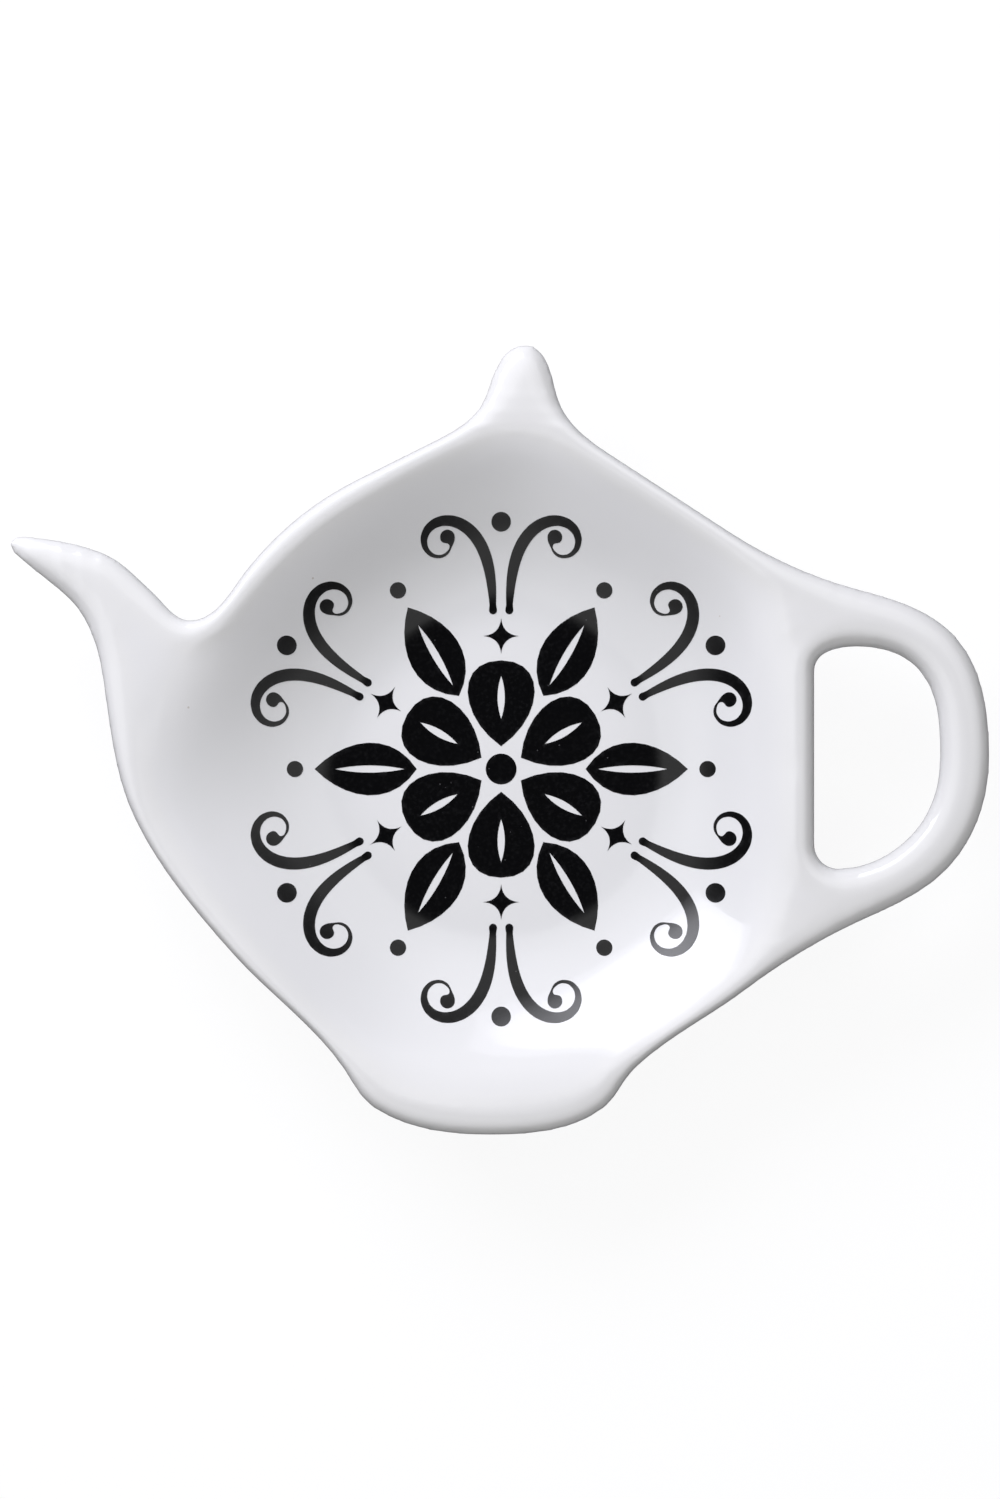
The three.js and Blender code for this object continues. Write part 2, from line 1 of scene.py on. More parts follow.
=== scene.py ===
# %% [markdown]
# # A teapot-shaped spoon rest
# The object is one piece of pressed white clay under a clear, glossy glaze, with a black rosette
# fired onto the floor of its well. It arrives here as measured solids in a fixed frame, true in
# size but made of flat facets. This lesson gives it the looks: a smooth skin for the clay, ink
# that lies on the curve of the well, a glaze, and the light of a small photo studio.

# %% Load the measured solids
import math

import bmesh
import bpy
from mathutils import Matrix, Vector
from mathutils.bvhtree import BVHTree
from mathutils.interpolate import poly_3d_calc
from mathutils.kdtree import KDTree


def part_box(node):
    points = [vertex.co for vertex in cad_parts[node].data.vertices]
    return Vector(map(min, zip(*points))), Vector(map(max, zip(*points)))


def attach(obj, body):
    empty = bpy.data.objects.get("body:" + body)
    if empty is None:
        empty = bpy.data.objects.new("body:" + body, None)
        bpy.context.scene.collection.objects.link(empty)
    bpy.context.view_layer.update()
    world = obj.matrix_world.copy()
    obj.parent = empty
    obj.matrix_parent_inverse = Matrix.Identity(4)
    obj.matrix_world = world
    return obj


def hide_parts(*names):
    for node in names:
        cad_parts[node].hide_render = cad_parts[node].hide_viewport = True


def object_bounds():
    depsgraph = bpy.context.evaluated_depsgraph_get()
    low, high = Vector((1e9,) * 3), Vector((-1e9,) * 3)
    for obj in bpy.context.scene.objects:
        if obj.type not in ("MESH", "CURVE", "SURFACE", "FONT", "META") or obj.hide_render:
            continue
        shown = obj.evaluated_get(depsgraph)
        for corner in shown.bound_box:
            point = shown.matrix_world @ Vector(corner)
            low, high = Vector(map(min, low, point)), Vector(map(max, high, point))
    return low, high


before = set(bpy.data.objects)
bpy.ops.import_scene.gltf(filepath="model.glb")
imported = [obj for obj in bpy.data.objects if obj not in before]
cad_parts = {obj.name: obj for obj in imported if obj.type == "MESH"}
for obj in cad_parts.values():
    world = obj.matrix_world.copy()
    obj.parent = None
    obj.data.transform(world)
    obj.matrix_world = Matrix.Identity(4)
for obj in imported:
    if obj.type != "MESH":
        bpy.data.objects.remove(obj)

MM = 0.001
cad_box = [list(corner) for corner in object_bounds()]
print("CAD box, metres:", cad_box)

# %% [markdown]
# ## The clay
# The real dish is pressed in a mould and its edges are wiped with a wet sponge, so nothing on it
# is sharp or flat. The measured solid has facets, which a glossy glaze would show at once. They
# could be hidden by smooth shading alone, but then reflections still break at every facet. So
# the solid is cast again in small even voxels, like slip filling a mould, and the new skin is
# relaxed afterwards.

# %% Cast the dish in fine voxels
VOXEL = 0.45 * MM
SAME_PLACE = 0.001 * MM


def merged_copy(node):
    """A CAD node as a bmesh, with its loose triangles joined."""
    bm = bmesh.new()
    bm.from_mesh(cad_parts[node].data)
    bmesh.ops.remove_doubles(bm, verts=bm.verts, dist=SAME_PLACE)
    return bm


def new_piece(bm, name):
    """An object at the origin that holds a bmesh."""
    mesh = bpy.data.meshes.new(name)
    bm.to_mesh(mesh)
    bm.free()
    piece = bpy.data.objects.new(name, mesh)
    bpy.context.scene.collection.objects.link(piece)
    return piece


def applied(piece):
    """The piece's mesh with its modifiers worked in."""
    graph = bpy.context.evaluated_depsgraph_get()
    return bpy.data.meshes.new_from_object(piece.evaluated_get(graph))


dish = new_piece(merged_copy("ceramic_dish"), "glazed_dish")
cast = dish.modifiers.new("cast", "REMESH")
cast.mode = "VOXEL"
cast.voxel_size = VOXEL
cast_mesh = applied(dish)
dish.modifiers.clear()
dish.data = cast_mesh
print("cast dish:", len(dish.data.polygons), "faces")

# %% [markdown]
# Relaxing moves each vertex towards its neighbours, as a sponge wears down what stands out. On its
# own it would also shrink thin places, such as the tip of the spout. So each step in is followed
# by a slightly stronger step back out, which takes away the small steps of the voxels and leaves
# the large shape.

# %% Relax the whole skin
EVEN_PAIRS = 30
STEP_IN, STEP_OUT = 0.5, -0.53


def relax(bm, verts, steps, factor=STEP_IN):
    """Smoothing steps, each of which moves the vertices towards their neighbours."""
    axes = {"use_axis_x": True, "use_axis_y": True, "use_axis_z": True}
    for _ in range(steps):
        bmesh.ops.smooth_vert(bm, verts=verts, factor=factor, **axes)


def even_out(bm, verts, pairs):
    """Pairs of steps, in and a little more than back out, which smooth without shrinking."""
    for _ in range(pairs):
        relax(bm, verts, 1)
        relax(bm, verts, 1, STEP_OUT)


clay = bmesh.new()
clay.from_mesh(dish.data)
even_out(clay, clay.verts, EVEN_PAIRS)
clay.normal_update()
print("evened out", len(clay.verts), "vertices")

# %% [markdown]
# The sponge works harder in some places. Where the well runs out to the spout, the handle, the
# foot and the shoulder beside the handle, its lip is wiped soft. Those places get extra relaxing
# steps, in patches that shrink from pass to pass, so that the effect fades out towards the edges
# of each patch. The upright walls stay out of it, which keeps the outline as it was measured, so
# the script first finds where they are.

# %% Find the walls and the middle of the well
WALL_BAND = 4 * MM
WALL_FACING = 0.5

rim_top = cad_box[1][2]
eye_low, eye_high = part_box("print_eye")
well_middle = (eye_low + eye_high) / 2
upright = [v for v in clay.verts if abs(v.normal.z) < WALL_FACING]
wall_verts = [v for v in upright if v.co.z > rim_top - WALL_BAND]
walls = KDTree(len(wall_verts))
for i, vert in enumerate(wall_verts):
    walls.insert((vert.co.x, vert.co.y, 0), i)
walls.balance()


def off_walls(vert):
    """How far a vertex is from the nearest upright wall, seen from above."""
    return walls.find((vert.co.x, vert.co.y, 0))[2]


print("walls of the outline and the finger hole:", len(wall_verts), "vertices")

# %% Wipe the lips soft
SOFT_STEPS = 40
SOFT_FROM = 22 * MM
SOFT_FACING = 0.7
# For each lip: where it lies and its half width, in degrees, and its reach in millimetres.
SOFT_LIPS = {
    "handle": (-1, 32, 42),
    "foot": (268, 30, 42),
    "shoulder": (46, 20, 42),
    "spout": (152, 47, 50),
}
# For each pass: the share of the half width, and the distance off the walls in millimetres.
SOFT_PASSES = ((1.0, 2.0), (0.85, 2.4), (0.7, 2.8), (0.55, 3.2))


def on_soft_lip(vert, lies, spread, reach, clear):
    """True where the well runs out gently to a land of the rim, clear of the walls."""
    out = (vert.co - well_middle).to_2d()
    if vert.normal.z < SOFT_FACING or not SOFT_FROM < out.length < reach:
        return False
    turn = math.degrees(math.atan2(out.y, out.x)) - lies
    near = abs((turn + 180) % 360 - 180) < spread
    return near and off_walls(vert) > clear


for name, (lies, spread, reach) in SOFT_LIPS.items():
    for share, clear in SOFT_PASSES:
        patch = (lies, share * spread, reach * MM, clear * MM)
        soft = [v for v in clay.verts if on_soft_lip(v, *patch)]
        relax(clay, soft, SOFT_STEPS)
        clay.normal_update()
    print(name, "lip wiped soft, last on", len(soft), "vertices")

# %% [markdown]
# A thumb rubs the tops of the spout, the knob and the handle round. A bevel on the measured solid
# could do that too, but it would have to know every edge. Here the upward faces of each end are
# relaxed, again in patches that shrink, and then the whole end is evened out, which takes away
# the crease at the border of the patch.

# %% Round the ends
CROWN_FACING = 0.35
END_PAIRS = 10
# For each end: the way it points, where its patches start in millimetres, and the steps on each.
ROUND_ENDS = {
    "spout": ((-1, 0), (49, 51.5, 54), 22),
    "knob": ((0, 1), (38.5, 40.5, 42.5), 22),
    "handle": ((1, 0), (41, 43.5, 46), 8),
}

for name, (way, starts, steps) in ROUND_ENDS.items():
    for start in starts:
        end = [v for v in clay.verts if v.co.to_2d().dot(Vector(way)) > start * MM]
        crown = [v for v in end if v.normal.z > CROWN_FACING]
        relax(clay, crown, steps)
        even_out(clay, end, END_PAIRS)
    clay.normal_update()
    print(name, "rounded, last on", len(crown), "vertices")

# %% [markdown]
# The well is the part that a mould gives its finest finish, and the softbox is mirrored in it. So
# its slope and floor are relaxed once more, up to just below the lip.

# %% Smooth the well
WELL_STEPS = 60
WELL_FACING = 0.3
WELL_REACH = 42 * MM
WELL_CLEAR = 2.2 * MM
LIP_BAND = 0.3 * MM


def in_well(vert):
    """True on the slope and floor of the well, clear of its lip and of the walls."""
    out = (vert.co - well_middle).to_2d().length
    if vert.normal.z < WELL_FACING or vert.co.z > rim_top - LIP_BAND or out > WELL_REACH:
        return False
    return off_walls(vert) > WELL_CLEAR


well_verts = [v for v in clay.verts if in_well(v)]
relax(clay, well_verts, WELL_STEPS)
clay.normal_update()
print("smoothed the well:", len(well_verts), "of", len(clay.verts), "vertices")

# %% [markdown]
# ## Where the glaze gathers, and where shade is painted
# Molten glaze runs off ridges and gathers in hollows, so it is thin and warm in tone on an edge
# and a little darker where it lies deep. The darkening in the hollows is stronger than pooling
# alone would give, so it also paints shade into the toe of the well. The mesh can tell where that
# is: a vertex that moves outwards when the skin is smoothed sits in a hollow, and one that moves
# inwards sits on a ridge.
# The distance is stored on each vertex, for the glaze to read.

# %% Measure hollows and ridges
POOL_STEPS = 90
POOL_SPAN = 0.33 * MM
POOL_LEVEL = 0.5

probe = clay.copy()
relax(probe, probe.verts, POOL_STEPS)
# This depth later darkens the hollows, both as pooled glaze and as painted shade.
pool = clay.verts.layers.float.new("glaze_pool")
for vert, moved in zip(clay.verts, probe.verts):
    depth = (moved.co - vert.co).dot(vert.normal)
    vert[pool] = min(1, max(0, POOL_LEVEL + depth / POOL_SPAN))
probe.free()
clay.to_mesh(dish.data)
clay.free()
dish.data.shade_smooth()
dish_tree = BVHTree.FromObject(dish, bpy.context.evaluated_depsgraph_get())
print("glaze pool stored on", len(dish.data.vertices), "vertices")

# %% [markdown]
# ## The print
# The rosette is screen-printed on a transfer sheet, floated onto the glazed well and fired a
# second time. Each motif is a flat island of ink, so it starts here as a flat outline: a few
# curve points with handles, filled to a face. A decal image would be simpler, but it would blur
# close up. A scroll has no handles of its own: its outline is stepped along like a brush that
# turns ever tighter, and Blender's automatic handles make those steps smooth.

# %% Draw the simple outlines
CIRCLE_HANDLE = 0.5523
STAR_WAIST = 0.12


def knot(at, back=None, ahead=None):
    """A curve point with its two handles, or none for automatic handles."""
    return at, back, ahead


def petal(length, width):
    """A drop with a pointed root and a round tip."""
    reach, spread, tip_spread = 0.35 * length, 0.7 * width, 0.75 * width
    root = knot((0, 0), (reach, spread), (reach, -spread))
    tip = knot((length, 0), (length, -tip_spread), (length, tip_spread))
    return [root, tip]


def leaf(length, width):
    """A blade with a pointed root and a pointed tip."""
    root_reach, root_spread = 0.25 * length, 0.75 * width
    tip_reach, tip_spread = 0.7 * length, 0.6 * width
    root = knot((0, 0), (root_reach, root_spread), (root_reach, -root_spread))
    tip = knot((length, 0), (tip_reach, -tip_spread), (tip_reach, tip_spread))
    return [root, tip]


def vein(start, end, width):
    """The slit in the middle of a petal or leaf."""
    third = (end - start) / 3
    lift = 2 * width / 3
    first = knot((start, 0), (start + third, -lift), (start + third, lift))
    last = knot((end, 0), (end - third, lift), (end - third, -lift))
    return [first, last]


def dot(radius):
    """A circle of four curve points."""
    arm = CIRCLE_HANDLE * radius
    return [
        knot((radius, 0), (radius, -arm), (radius, arm)),
        knot((0, radius), (arm, radius), (-arm, radius)),
        knot((-radius, 0), (-radius, arm), (-radius, -arm)),
        knot((0, -radius), (-arm, -radius), (arm, -radius)),
    ]


def star(radius):
    """Four points with a narrow waist between them."""
    knots = []
    for quarter in range(4):
        angle = quarter * math.pi / 2
        point = Vector((math.cos(angle), math.sin(angle))) * radius
        waists = [
            Vector((math.cos(angle + turn), math.sin(angle + turn))) * STAR_WAIST * radius
            for turn in (-math.pi / 4, math.pi / 4)
        ]
        back, ahead = [point + (waist - point) * 2 / 3 for waist in waists]
        knots.append(knot(point, back, ahead))
    return knots


print("a dot has", len(dot(1)), "curve points, a star", len(star(1)))

# %% Draw the scrolls and list the motifs
SCROLL_STEPS = 20
SCROLL_THIN = 0.25
SCROLL_FULL_EARLY = 0.08
SCROLL_BEND, SCROLL_CURL = 0.5, 17
SCROLL_LENGTH, SCROLL_WIDTH, SCROLL_BALL, SCROLL_APART = 23, 1.5, 0.9, 1
BALL_STEPS = 8
BALL_WRAP = 1.6
PETAL_LENGTH, PETAL_WIDTH = 10.6, 7.6
LEAF_LENGTH, LEAF_WIDTH = 12.6, 6.4
VEIN_WIDTH = 0.9
PETAL_VEIN, LEAF_VEIN = (0.32, 0.82), (0.12, 0.8)


def scroll(hand):
    """A brush stroke to one hand that curls ever tighter and ends in a ball."""
    at, run, step = Vector((0, SCROLL_APART)), 0.0, SCROLL_LENGTH / SCROLL_STEPS
    left, right = [], []
    for i in range(SCROLL_STEPS + 1):
        t = i / SCROLL_STEPS
        across = Vector((-math.sin(run), math.cos(run)))
        swell = math.sin(math.pi * min(1, t + SCROLL_FULL_EARLY))
        half = SCROLL_WIDTH / 2 * (SCROLL_THIN + (1 - SCROLL_THIN) * swell)
        left.append(at + across * half)
        right.append(at - across * half)
        run += (SCROLL_BEND + SCROLL_CURL * t * t) / SCROLL_LENGTH * step
        at = at + Vector((math.cos(run), math.sin(run))) * step
    wraps = [BALL_WRAP * (k / BALL_STEPS - 0.5) for k in range(1, BALL_STEPS)]
    turns = [run + math.pi * wrap for wrap in wraps]
    end = [at + Vector((math.cos(a), math.sin(a))) * SCROLL_BALL for a in turns]
    return [knot((p.x, hand * p.y)) for p in right + end + left[::-1]]


petal_vein = vein(*[PETAL_LENGTH * share for share in PETAL_VEIN], VEIN_WIDTH)
leaf_vein = vein(*[LEAF_LENGTH * share for share in LEAF_VEIN], VEIN_WIDTH)
# For each motif: its outlines, and how far from the middle it starts, in millimetres.
motifs = {
    "eye": ([dot(1.9)], 0),
    "petal": ([petal(PETAL_LENGTH, PETAL_WIDTH), petal_vein], 2.8),
    "leaf": ([leaf(LEAF_LENGTH, LEAF_WIDTH), leaf_vein], 10.4),
    "star": ([star(2.2)], 16.4),
    "scroll_left": ([scroll(1)], 19.2),
    "scroll_right": ([scroll(-1)], 19.2),
    "tip_dot": ([dot(1)], 25.4),
    "rim_dot": ([dot(1.2)], 30.4),
}
print("motifs drawn:", ", ".join(motifs))

# %% [markdown]
# A filled outline has long thin triangles, which can't bend. Slicing the flat face on a fine grid
# of planes first gives it enough vertices to follow the well. The slices are made once, on one
# motif, and the copies round the rosette share them.

# %% Fill and slice a motif
CURVE_STEPS = 10
GRID = 0.6
SAME_POINT = 0.002
SLICE_SNAP = 0.02
SLIVER = 0.01


def filled(name, outlines):
    """A flat bmesh of a motif, in millimetres."""
    curve = bpy.data.curves.new(name, "CURVE")
    curve.dimensions = "2D"
    curve.fill_mode = "FRONT"
    curve.resolution_u = CURVE_STEPS
    for knots in outlines:
        spline = curve.splines.new("BEZIER")
        spline.bezier_points.add(len(knots) - 1)
        spline.use_cyclic_u = True
        for point, (at, back, ahead) in zip(spline.bezier_points, knots):
            point.co = (*at, 0)
            kind = "AUTO" if back is None else "FREE"
            point.handle_left_type = point.handle_right_type = kind
            if back is not None:
                point.handle_left = (*back, 0)
                point.handle_right = (*ahead, 0)
    drawn = bpy.data.objects.new(name, curve)
    bpy.context.scene.collection.objects.link(drawn)
    bm = bmesh.new()
    bm.from_mesh(applied(drawn))
    bpy.data.objects.remove(drawn)
    bmesh.ops.remove_doubles(bm, verts=bm.verts, dist=SAME_POINT)
    bmesh.ops.reverse_faces(bm, faces=[f for f in bm.faces if f.normal.z < 0])
    return bm


def slice_finely(bm):
    """Cuts a flat motif along a grid of planes."""
    for axis, normal in enumerate(((1, 0, 0), (0, 1, 0))):
        low = min(v.co[axis] for v in bm.verts)
        high = max(v.co[axis] for v in bm.verts)
        for k in range(1, math.ceil((high - low) / GRID)):
            at = [0, 0, 0]
            at[axis] = low + k * GRID
            plane = {"plane_co": at, "plane_no": normal}
            everything = bm.verts[:] + bm.edges[:] + bm.faces[:]
            bmesh.ops.bisect_plane(bm, geom=everything, dist=SLICE_SNAP, **plane)
    bmesh.ops.dissolve_degenerate(bm, edges=bm.edges, dist=SLIVER)


flat = {}
for name, (outlines, _) in motifs.items():
    flat[name] = filled("draft_" + name, outlines)
    slice_finely(flat[name])
    print(name, len(flat[name].faces), "faces")

# %% [markdown]
# Each copy is turned to its place round the middle of the well and dropped onto the clay, as the
# wet transfer settles. A ray cast straight down finds the clay under each vertex, and the vertex
# stops a few hundredths of a millimetre above it. The sheet then gets a thickness that reaches
# just into the glaze, so that no light leaks under it. Its small faces would glint one by one, so
# the ink takes its shading from the facing of the clay below it.

# %% Turn the copies round the middle
FOLD = 6
FIRST_TURN = 90
BETWEEN = ("leaf", "tip_dot")


def turned_copies(name):
    """All copies of a motif round the rosette, flat and in metres."""
    start = motifs[name][1]
    bm = bmesh.new()
    for i in range(1 if name == "eye" else FOLD):
        share = i + (0.5 if name in BETWEEN else 0)
        turn = Matrix.Rotation(math.radians(FIRST_TURN + 360 / FOLD * share), 3, "Z")
        sheet = bpy.data.meshes.new("sheet")
        flat[name].to_mesh(sheet)
        kept = len(bm.verts)
        bm.from_mesh(sheet)
        bpy.data.meshes.remove(sheet)
        bm.verts.ensure_lookup_table()
        added = bm.verts[kept:]
        bmesh.ops.translate(bm, verts=added, vec=(start, 0, 0))
        bmesh.ops.scale(bm, verts=added, vec=(MM, MM, MM))
        bmesh.ops.rotate(bm, verts=added, cent=(0, 0, 0), matrix=turn)
        bmesh.ops.translate(bm, verts=added, vec=(well_middle.x, well_middle.y, 0))
    return bm


sheets = {name: turned_copies(name) for name in motifs}
print("flat sheets turned:", len(sheets))

# %% Lay the motifs in the well
INK_LIFT = 0.03 * MM
INK_BODY = 0.06 * MM
RAY_START = 1


def skin_facing(face, place):
    """The smooth facing of the clay's skin at a place on one of its faces."""
    corners = [dish.data.vertices[i] for i in dish.data.polygons[face].vertices]
    shares = poly_3d_calc([corner.co for corner in corners], place)
    facing = Vector()
    for corner, share in zip(corners, shares):
        facing += corner.normal * share
    return facing.normalized()


def lay_down(bm):
    """Drops a flat sheet onto the clay and gives it a thickness."""
    edge = bm.verts.layers.float.new("ink_edge")
    skin = bm.verts.layers.float_vector.new("skin_facing")
    for vert in bm.verts:
        vert[edge] = 1.0 if vert.is_boundary else 0.0
        above = Vector((vert.co.x, vert.co.y, RAY_START))
        place, _, face, _ = dish_tree.ray_cast(above, (0, 0, -1))
        vert[skin] = skin_facing(face, place)
        vert.co = place + vert[skin] * INK_LIFT
    bm.normal_update()
    bmesh.ops.solidify(bm, geom=bm.faces[:], thickness=INK_BODY)


ink_pieces = []
for name, sheet in sheets.items():
    lay_down(sheet)
    piece = new_piece(sheet, "ink_" + name)
    piece.data.shade_smooth()
    facings = [spot.vector for spot in piece.data.attributes["skin_facing"].data]
    piece.data.normals_split_custom_set_from_vertices(facings)
    ink_pieces.append(piece)
    flat[name].free()
    print(piece.name, len(piece.data.polygons), "faces")

# %% [markdown]
# ## Writing shader maths
# A material is a graph of nodes, and a graph made line by line is hard to read. This small class
# wraps one socket, so that sums and products of sockets can be written as plain expressions. Any
# other node comes from its one method, which sets the node's own settings before its sockets.

# %% A socket that does sums
# A Mix node has sockets of one name for every kind of value, so its colours go by number.
MIX_SHARE, MIX_UNDER, MIX_OVER, MIX_COLOUR = 0, 6, 7, 2


class Wire:
    """An output socket; arithmetic on it adds Math nodes."""

    def __init__(self, tree, socket):
        self.tree, self.socket = tree, socket

    def node(self, kind, settings=None, sockets=None, output=0):
        """Adds a node, with its settings first and then its sockets, and wraps one output."""
        made = self.tree.nodes.new("ShaderNode" + kind)
        for name, value in (settings or {}).items():
            if name == "stops":
                ramp = made.color_ramp.elements
                while len(ramp) < len(value):
                    ramp.new(0.5)
                for stop, (at, colour) in zip(ramp, value):
                    stop.position, stop.color = at, colour
            else:
                setattr(made, name, value)
        for name, value in (sockets or {}).items():
            if isinstance(value, Wire):
                self.tree.links.new(value.socket, made.inputs[name])
            else:
                made.inputs[name].default_value = value
        return Wire(self.tree, made.outputs[output])

    def sum(self, operation, a, b):
        """A Math node on two values."""
        return self.node("Math", {"operation": operation}, {0: a, 1: b})

    def __add__(self, other):
        return self.sum("ADD", self, other)

    def __sub__(self, other):
        return self.sum("SUBTRACT", self, other)

    def __rsub__(self, other):
        return self.sum("SUBTRACT", other, self)

    def __mul__(self, other):
        return self.sum("MULTIPLY", self, other)

    def __truediv__(self, other):
        return self.sum("DIVIDE", self, other)

    def __rtruediv__(self, other):
        return self.sum("DIVIDE", other, self)

    def __lt__(self, other):
        return self.sum("LESS_THAN", self, other)

    def __gt__(self, other):
        return self.sum("GREATER_THAN", self, other)

    __radd__, __rmul__ = __add__, __mul__

    def clamped(self):
        """The same value, kept between 0 and 1."""
        return self.node("Clamp", {}, {"Value": self})

    def blend(self, under, over):
        """A colour that goes from under to over as this value goes from 0 to 1."""
        sockets = {MIX_SHARE: self, MIX_UNDER: under, MIX_OVER: over}
        return self.node("Mix", {"data_type": "RGBA"}, sockets, MIX_COLOUR)


print("sums on a socket: + - * / < >")

# %% Start a finish
MIDDLE = 0.5


def new_finish(name):
    """A node material with a Principled shader, and a wire of its Object coordinates."""
    finish = bpy.data.materials.new(name)
    finish.use_nodes = True
    tree = finish.node_tree
    shader = tree.nodes["Principled BSDF"]
    coords = tree.nodes.new("ShaderNodeTexCoord")
    return finish, shader, Wire(tree, coords.outputs["Object"])


def feed(shader, socket, wire):
    """Links a wire to a socket of the shader."""
    wire.tree.links.new(wire.socket, shader.inputs[socket])


def noise(at, scale, detail):
    """An even noise, with its scale per metre."""
    return at.node("TexNoise", {}, {"Vector": at, "Scale": scale, "Detail": detail})


def stored(at, name):
    """A value that was stored on the vertices of the piece."""
    return at.node("Attribute", {"attribute_name": name}, {}, "Fac")


def spots(at, scale, size, share):
    """1 in small round spots, in a share of the cells of a grid, and 0 elsewhere."""
    cells = {"Vector": at, "Scale": scale}
    far = at.node("TexVoronoi", {}, cells)
    hue = at.node("TexVoronoi", {}, cells, "Color")
    pick = at.node("SeparateColor", {}, {"Color": hue})
    return (far < size) * (pick < share)


print("shader helpers ready")

# %% [markdown]
# ## The glaze
# A clear glaze over white clay: hard, glassy and not quite even. It is a touch darker in hollows,
# where the darkening is also painted shade in the toe of the well, and warmer on ridges, faintly
# cloudy from the clay below, and has a very shallow ripple that makes a reflection swim. A few
# iron specks show through. Under the dish the ring that stood on the kiln shelf was wiped clean
# before firing, so it is dry, rough and cream-coloured, with a ragged edge where the glaze stops.

# %% Mix the colour of the glaze
# The deeper tone tints cloudy glaze, and in the hollows it is also painted shade.
WHITE = (0.810, 0.808, 0.822, 1)
DEEP_AND_SHADE = (0.705, 0.708, 0.718, 1)
THIN = (0.832, 0.826, 0.820, 1)
SPECK = (0.46, 0.40, 0.34, 1)
HOLLOW_POOL_AND_SHADE_TINT, RIDGE_TINT, CLOUD_TINT, SPECK_TINT = 0.9, 0.5, 0.5, 0.55
CLOUD_FROM = 0.45
# For each noise: its scale per metre and its detail.
CLOUD_NOISE, GRIT_NOISE, RIPPLE_NOISE = (55, 3), (3800, 4), (420, 2)
SPECK_SCALE, SPECK_SIZE, SPECK_SHARE = 260, 0.035, 0.12

glaze, shader, at = new_finish("white_glaze")
cloud = noise(at, *CLOUD_NOISE)
grit = noise(at, *GRIT_NOISE)
depth = stored(at, "glaze_pool")
# Hollows go towards the deeper tone: partly pooled glaze, partly painted shade in the toe of the
# well.
hollow_pool_and_shade = ((depth - POOL_LEVEL) * 2).clamped()
ridge = ((POOL_LEVEL - depth) * 2).clamped()
colour = (hollow_pool_and_shade * HOLLOW_POOL_AND_SHADE_TINT).blend(WHITE, DEEP_AND_SHADE)
colour = (ridge * RIDGE_TINT).blend(colour, THIN)
colour = ((cloud - CLOUD_FROM) * CLOUD_TINT).clamped().blend(colour, DEEP_AND_SHADE)
speck = spots(at, SPECK_SCALE, SPECK_SIZE, SPECK_SHARE)
colour = (speck * SPECK_TINT).blend(colour, SPECK)
print("glaze colour mixed with", len(glaze.node_tree.nodes), "nodes")

# %% Leave the foot ring bare and set the gloss
BISQUE = (0.74, 0.68, 0.60, 1)
SCORCH = (0.52, 0.40, 0.30, 1)
GLAZE_STOP = 0.42 * MM
STOP_WANDER = 0.5 * MM
STOP_FADE = 0.05 * MM
SCORCH_RISE, SCORCH_FADE = 0.12 * MM, 0.1 * MM
SCORCH_TINT, GRIT_TINT = 0.5, 0.5
GLAZE_ROUGH, CLOUD_ROUGH, BISQUE_ROUGH = 0.045, 0.03, 0.85
RIPPLE_STRENGTH, RIPPLE_HEIGHT = 0.25, 0.02 * MM
GRIT_STRENGTH, GRIT_HEIGHT = 0.6, 0.1 * MM
GLAZE_IOR = 1.5

height = at.node("SeparateXYZ", {}, {"Vector": at}, "Z")
stop = GLAZE_STOP + (cloud - MIDDLE) * STOP_WANDER
dry = ((stop - height) / STOP_FADE).clamped()
line = ((stop + SCORCH_RISE - height) / SCORCH_FADE).clamped()
colour = (line * SCORCH_TINT).blend(colour, SCORCH)
colour = dry.blend(colour, (grit * GRIT_TINT).blend(BISQUE, SCORCH))
feed(shader, "Base Color", colour)
gloss = GLAZE_ROUGH + cloud * CLOUD_ROUGH
feed(shader, "Roughness", gloss + dry * (BISQUE_ROUGH - GLAZE_ROUGH))

ripple = noise(at, *RIPPLE_NOISE)
swim = {"Strength": RIPPLE_STRENGTH, "Distance": RIPPLE_HEIGHT, "Height": ripple}
swum = at.node("Bump", {}, swim)
rough = {"Strength": dry * GRIT_STRENGTH, "Distance": GRIT_HEIGHT, "Height": grit, "Normal": swum}
feed(shader, "Normal", at.node("Bump", {}, rough))
shader.inputs["IOR"].default_value = GLAZE_IOR
dish.data.materials.clear()
dish.data.materials.append(glaze)
print("glaze mixed with", len(glaze.node_tree.nodes), "nodes")

# %% [markdown]
# ## The ink
# The ink is black glass with a little grit in it. Fired, it is dense and glossy, with tiny pale
# pinholes where the screen's mesh let a bubble through, and it thins to a dark grey at the very
# edge of each island.

# %% Mix the ink
BLACK = (0.002, 0.002, 0.0025, 1)
WORN = (0.022, 0.022, 0.024, 1)
PINHOLE = (0.08, 0.08, 0.083, 1)
GRAIN_NOISE, WASH_NOISE = (2600, 3), (140, 2)
PINHOLE_SCALE, PINHOLE_SIZE, PINHOLE_SHARE = 1500, 0.13, 0.05
WEAR, EDGE_WEAR, PINHOLE_TINT = 1.6, 0.5, 0.7
INK_ROUGH, GRAIN_ROUGH = 0.07, 0.08
GRAIN_STRENGTH, GRAIN_HEIGHT = 0.07, 0.01 * MM
INK_IOR = 1.45

